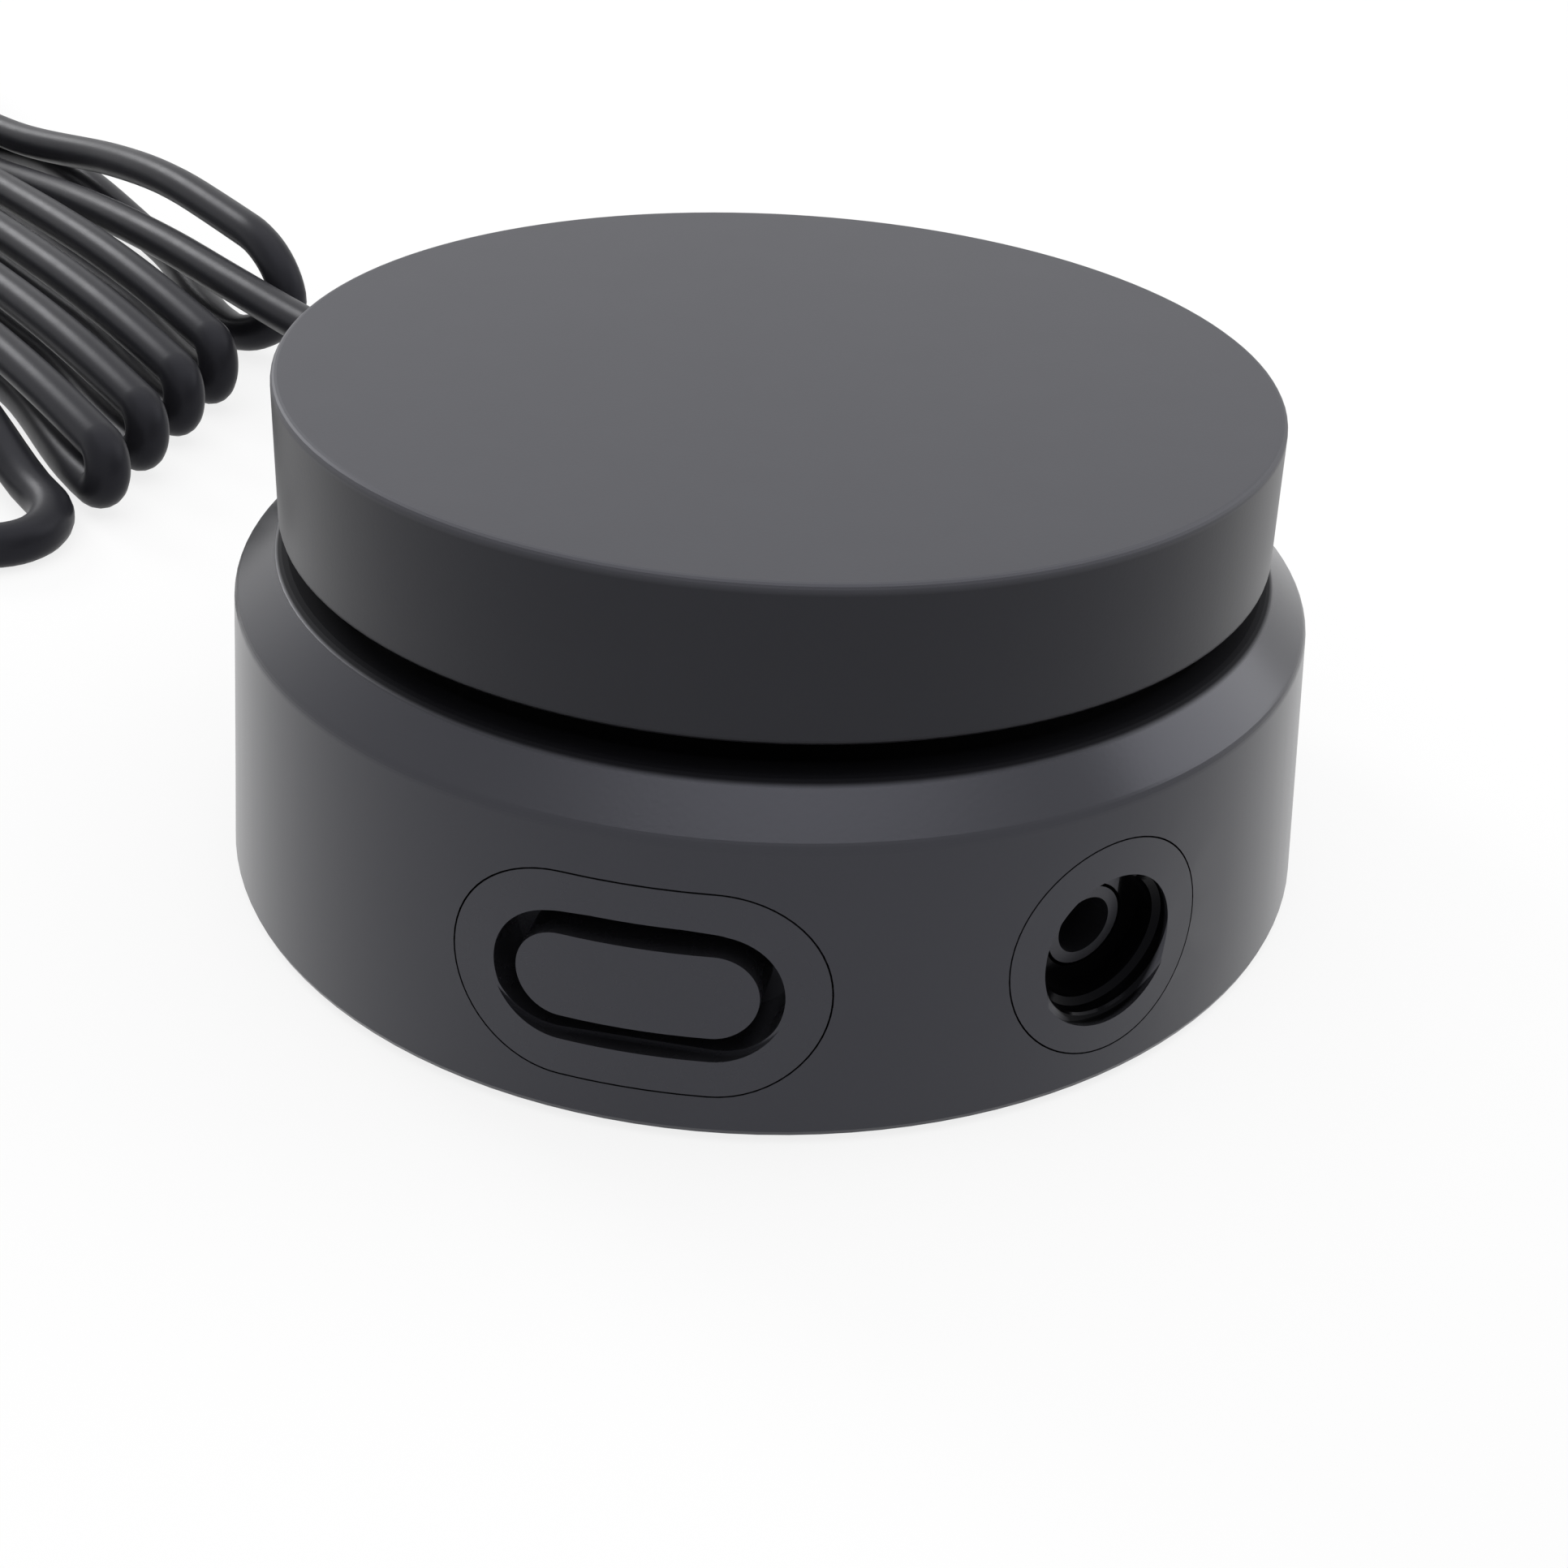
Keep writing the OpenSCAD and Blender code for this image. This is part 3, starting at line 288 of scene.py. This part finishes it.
hank = hank_line()
start = [Vector((0, RELIEF_END, PORT_Z)), Vector((0, RELIEF_END + STUB, PORT_Z))]
start += [on_hank(*p) for p in LEAD_IN]
start += [low_at(-1, WAIST_U + k) for k in PAST_WAIST]
start += [hank[0] - STUB * ALONG, hank[0]]
tail = [hank[-1], hank[-1] + STUB * ALONG]
tail += [Vector(p) for p in TO_PLUG]
route = [p * MM for p in smooth(start) + hank[1:] + smooth(tail)[1:]]

curve = bpy.data.curves.new("usb_lead", "CURVE")
curve.dimensions = "3D"
curve.bevel_depth = 1  # times each point's radius
curve.bevel_resolution = 8
curve.use_fill_caps = True
spline = curve.splines.new("POLY")
spline.points.add(len(route) - 1)
for point, spot in zip(spline.points, route):
    point.co = (*spot, 1)
    point.radius = CORD_D / 2 * MM
spline.use_smooth = True
lead = bpy.data.objects.new("usb_lead", curve)
scene.collection.objects.link(lead)
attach(lead, "housing")
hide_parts("usb_cable", "cable_hank", "plug_lead")


# Materials
DRIFT_SCALE, GLOSS_SCALE, METAL_SCALE = 260, 500, 900  # of the noise in tone, in gloss and in metal
GLOSS_DRIFT = 0.02
PLASTIC_BUMP, METAL_BUMP = 0.35, 0.15
FINE_DEPTH = 0.00001  # of a grain that only softens the shine
SPECULAR_TINT = (0.86, 0.87, 1, 1)
INSERT_COLOUR = (0.013, 0.013, 0.0152)


def material(name):
    """A new material, with its node tree, its shader and the place on the part."""
    made = bpy.data.materials.new(name)
    made.use_nodes = True
    tree = made.node_tree
    shader = tree.nodes["Principled BSDF"]
    where = tree.nodes.new("ShaderNodeTexCoord")
    return made, tree, shader, where.outputs["Object"]


def noise(tree, where, scale, detail=2.0, rough=0.5, stretch=None):
    if stretch:
        bend = tree.nodes.new("ShaderNodeMapping")
        bend.inputs["Scale"].default_value = stretch
        tree.links.new(where, bend.inputs["Vector"])
        where = bend.outputs["Vector"]
    made = tree.nodes.new("ShaderNodeTexNoise")
    made.inputs["Scale"].default_value = scale
    made.inputs["Detail"].default_value = detail
    made.inputs["Roughness"].default_value = rough
    tree.links.new(where, made.inputs["Vector"])
    return made.outputs["Fac"]


def map_range(tree, value, start=0, end=1, low=0, high=1):
    """Low at the start and high at the end."""
    made = tree.nodes.new("ShaderNodeMapRange")
    for name, number in (("From Min", start), ("From Max", end), ("To Min", low), ("To Max", high)):
        made.inputs[name].default_value = number
    tree.links.new(value, made.inputs["Value"])
    return made.outputs["Result"]


def spread(tree, value, low, high):
    """Brings a noise, which stays near its middle, to the range from low to high."""
    return map_range(tree, value, 0.3, 0.7, low, high)


def ramp(tree, value, *stops):
    """Two colours, each at its own value."""
    made = tree.nodes.new("ShaderNodeValToRGB")
    for element, (at, colour) in zip(made.color_ramp.elements, stops):
        element.position = at
        element.color = (*colour, 1)
    tree.links.new(value, made.inputs["Fac"])
    return made.outputs["Color"]


def bump(tree, shader, value, strength, depth):
    made = tree.nodes.new("ShaderNodeBump")
    made.inputs["Strength"].default_value = strength
    made.inputs["Distance"].default_value = depth
    tree.links.new(value, made.inputs["Height"])
    tree.links.new(made.outputs["Normal"], shader.inputs["Normal"])


def tone(colour, k):
    """A colour, k times as bright."""
    return tuple(min(1, c * k) for c in colour)


def moulded(name, colour, rough=None, level=0.5, grain=4200, depth=FINE_DEPTH, mottle=0.03):
    """Moulded plastic: a fine spark-eroded grain, with a faint drift of tone and gloss.

    Without a roughness here, vary gives it."""
    made, tree, shader, where = material(name)
    drift = noise(tree, where, DRIFT_SCALE, detail=3)
    tree.links.new(ramp(tree, drift, (0.3, tone(colour, 1 - mottle)), (0.7, tone(colour, 1 + mottle))),
                   shader.inputs["Base Color"])
    if rough is not None:
        gloss = spread(tree, noise(tree, where, GLOSS_SCALE), rough - GLOSS_DRIFT, rough + GLOSS_DRIFT)
        tree.links.new(gloss, shader.inputs["Roughness"])
    shader.inputs["Specular IOR Level"].default_value = level
    shader.inputs["Specular Tint"].default_value = SPECULAR_TINT
    bump(tree, shader, noise(tree, where, grain, rough=0.6), PLASTIC_BUMP, depth)
    return made


def metal(name, colour, rough, stretch=(1, 1, 12)):
    """Plated metal with a fine drawn or turned grain."""
    made, tree, shader, where = material(name)
    grain = noise(tree, where, METAL_SCALE, detail=3, rough=0.6, stretch=stretch)
    tree.links.new(ramp(tree, grain, (0.25, tone(colour, 0.85)), (0.75, colour)),
                   shader.inputs["Base Color"])
    tree.links.new(spread(tree, grain, rough - 0.06, rough + 0.08), shader.inputs["Roughness"])
    shader.inputs["Metallic"].default_value = 1
    bump(tree, shader, grain, METAL_BUMP, FINE_DEPTH)
    return made


def position(tree):
    """The x, y and z of a point of the part, in metres."""
    split = tree.nodes.new("ShaderNodeSeparateXYZ")
    tree.links.new(tree.nodes["Texture Coordinate"].outputs["Object"], split.inputs[0])
    return split.outputs


def reckon(tree, operation, *values):
    """What a math node makes of its values, numbers or sockets."""
    made = tree.nodes.new("ShaderNodeMath")
    made.operation = operation
    for socket, value in zip(made.inputs, values):
        if isinstance(value, (int, float)):
            socket.default_value = value
        else:
            tree.links.new(value, socket)
    return made.outputs[0]


def from_axis(tree, x, y):
    """Distance from the part's upright axis."""
    return reckon(tree, "SQRT", reckon(tree, "MULTIPLY_ADD", x, x, reckon(tree, "MULTIPLY", y, y)))


def vary(made, mask, share, rough, level):
    """Where a mask is 1, a share of the colour. Roughness and level: outside the mask and inside."""
    tree = made.node_tree
    shader = tree.nodes["Principled BSDF"]
    scale = tree.nodes.new("ShaderNodeVectorMath")
    scale.operation = "SCALE"
    tree.links.new(shader.inputs["Base Color"].links[0].from_socket, scale.inputs[0])
    tree.links.new(map_range(tree, mask, low=1, high=share), scale.inputs["Scale"])
    tree.links.new(scale.outputs[0], shader.inputs["Base Color"])
    for name, (low, high) in (("Roughness", rough), ("Specular IOR Level", level)):
        tree.links.new(map_range(tree, mask, low=low, high=high), shader.inputs[name])


# Masks, in metres; each goes from its first value to its second
RIM_R, RIM_Z = (0.0311, 0.0308), (0.017, 0.0175)
DIAL_SIDE_Z = (0.0312, 0.0308)
WALL_LEAN, WALL_R = 0.096, (0.0351, 0.0349)  # the conical wall, as its radius on the floor
BRIDGE_X, BRIDGE_HALF, BRIDGE_Z = 0.0003, 0.002, (0.0102, 0.0105)


def housing_plastic():
    """Painted shade at the rim, in the dial's shadow gap: darker there, and duller, with a weaker shine.
    """
    made = moulded("housing_plastic", (0.008, 0.008, 0.0098))
    tree = made.node_tree
    x, y, z = position(tree)
    rim = reckon(tree, "MULTIPLY", map_range(tree, from_axis(tree, x, y), *RIM_R),
                 map_range(tree, z, *RIM_Z))
    vary(made, rim, 0.7, rough=(0.25, 0.6), level=(0.58, 0.06))
    return made


def dial_plastic():
    """Painted shade on the side: its colour darker than on the top, where more light falls; the side is
    also glossier.
    """
    made = moulded("dial_plastic", (0.031, 0.031, 0.0355))
    tree = made.node_tree
    side = map_range(tree, position(tree)["Z"], *DIAL_SIDE_Z)
    vary(made, side, 0.4, rough=(0.52, 0.36), level=(0.5, 0.28))
    return made


def recess_plastic():
    """The socket's insert, with painted shade inside the wall's face: darker and with almost no shine
    there, apart from a bridge above the nose.
    """
    made = moulded("recess_plastic", INSERT_COLOUR)
    tree = made.node_tree
    x, y, z = position(tree)
    inside = map_range(tree, reckon(tree, "MULTIPLY_ADD", z, WALL_LEAN, from_axis(tree, x, y)), *WALL_R)
    bridge = reckon(tree, "MULTIPLY", reckon(tree, "COMPARE", x, BRIDGE_X, BRIDGE_HALF),
                    map_range(tree, z, *BRIDGE_Z))
    inside = reckon(tree, "MULTIPLY", inside, reckon(tree, "SUBTRACT", 1, bridge))
    vary(made, inside, 0.1, rough=(0.27, 0.12), level=(0.56, 0.05))
    return made


looks = {
    "housing": housing_plastic(),
    "dial": dial_plastic(),
    "insert": moulded("insert_plastic", INSERT_COLOUR, 0.27, level=0.56),
    "foot": moulded("foot_rubber", (0.012, 0.012, 0.012), 0.8, level=0.3, grain=1800, depth=0.00004),
    "screw_steel": metal("plated_steel", (0.62, 0.62, 0.64), 0.28),
    "board": moulded("solder_mask", (0.012, 0.09, 0.04), 0.3, grain=1500, mottle=0.12),
    "black_moulding": moulded("nose_plastic", INSERT_COLOUR, 0.3),
    "switch_black": moulded("matt_black", (0.008, 0.008, 0.009), 0.5, level=0.3),
    "encoder_brass": metal("turned_brass", (0.62, 0.46, 0.2), 0.26),
    "contact_metal": metal("plated_contacts", (0.83, 0.62, 0.26), 0.22),
    "nylon": moulded("natural_nylon", (0.74, 0.72, 0.64), 0.42, grain=2500),
    "can_metal": metal("drawn_can", (0.72, 0.72, 0.74), 0.3),
    "wire": moulded("wire_insulation", (0.42, 0.03, 0.02), 0.45, grain=2000),
    "lead_jacket": moulded("lead_jacket", (0.018, 0.018, 0.0215), 0.37, level=0.1, grain=2600),
    "plug_metal": metal("drawn_shell", (0.46, 0.46, 0.48), 0.34, stretch=(3, 0.15, 3)),
}
recess = recess_plastic()
for part in frame["record"]["subparts"]:
    mesh = nodes[part["node"]].data
    mesh.materials.clear()
    mesh.materials.append(recess if part["node"] == "jack_bezel" else looks[part["material_slot"]])
curve.materials.append(looks["lead_jacket"])

# White floor and surroundings, soft light
FLOOR_HALF = 4
FLOOR_COLOUR = (0.9, 0.9, 0.9, 1)
FLOOR_SHARE = 0.82  # of plain white in what the camera sees; the rest takes light and shadow
SURROUND = 0.45  # light that the surroundings give


def seen(tree):
    """1 for what the camera sees straight, in a reflection or through glass."""
    path = tree.nodes.new("ShaderNodeLightPath")
    total = path.outputs["Is Camera Ray"]
    for name in ("Is Glossy Ray", "Is Transmission Ray"):
        total = reckon(tree, "MAXIMUM", total, path.outputs[name])
    return total


def floor_white():
    """Mostly plain white to the camera, a matt pale floor to the light."""
    made = bpy.data.materials.new("floor_white")
    made.use_nodes = True
    tree = made.node_tree
    tree.nodes.clear()
    matt = tree.nodes.new("ShaderNodeBsdfDiffuse")
    matt.inputs["Color"].default_value = FLOOR_COLOUR
    glow = tree.nodes.new("ShaderNodeEmission")
    mix = tree.nodes.new("ShaderNodeMixShader")
    tree.links.new(reckon(tree, "MULTIPLY", seen(tree), FLOOR_SHARE), mix.inputs["Fac"])
    tree.links.new(matt.outputs[0], mix.inputs[1])
    tree.links.new(glow.outputs[0], mix.inputs[2])
    tree.links.new(mix.outputs[0], tree.nodes.new("ShaderNodeOutputMaterial").inputs["Surface"])
    return made


def studio():
    """White to the camera, a weaker light to the part."""
    made = bpy.data.worlds.new("studio")
    made.use_nodes = True
    tree = made.node_tree
    back = tree.nodes["Background"]
    back.inputs["Color"].default_value = (1, 1, 1, 1)
    tree.links.new(map_range(tree, seen(tree), low=SURROUND), back.inputs["Strength"])
    return made


def lamp(name, place, target, size, power):
    """A soft round lamp."""
    light = bpy.data.lights.new(name, "AREA")
    light.shape = "DISK"
    light.size = size
    light.energy = power
    obj = bpy.data.objects.new(name, light)
    obj.location = place
    obj.rotation_euler = (Vector(target) - Vector(place)).to_track_quat("-Z", "Y").to_euler()
    scene.collection.objects.link(obj)


floor_mesh = bpy.data.meshes.new("floor")
floor_mesh.from_pydata([(-FLOOR_HALF, -FLOOR_HALF, 0), (FLOOR_HALF, -FLOOR_HALF, 0),
                        (FLOOR_HALF, FLOOR_HALF, 0), (-FLOOR_HALF, FLOOR_HALF, 0)], [], [(0, 1, 2, 3)])
floor_mesh.materials.append(floor_white())
floor = bpy.data.objects.new("floor", floor_mesh)
scene.collection.objects.link(floor)

scene.world = studio()
lamp("overhead", (0.06, 0.08, 0.8), target=(0, 0.04, 0.02), size=1.2, power=4.9)
lamp("right_box", (1.0, -0.22, 0.6), target=(0, 0.02, 0.02), size=0.9, power=3.2)
lamp("back_box", (-0.22, 1.1, 0.56), target=(0, 0.1, 0), size=0.4, power=4)

scene.view_settings.view_transform = "Standard"

bpy.context.view_layer.update()
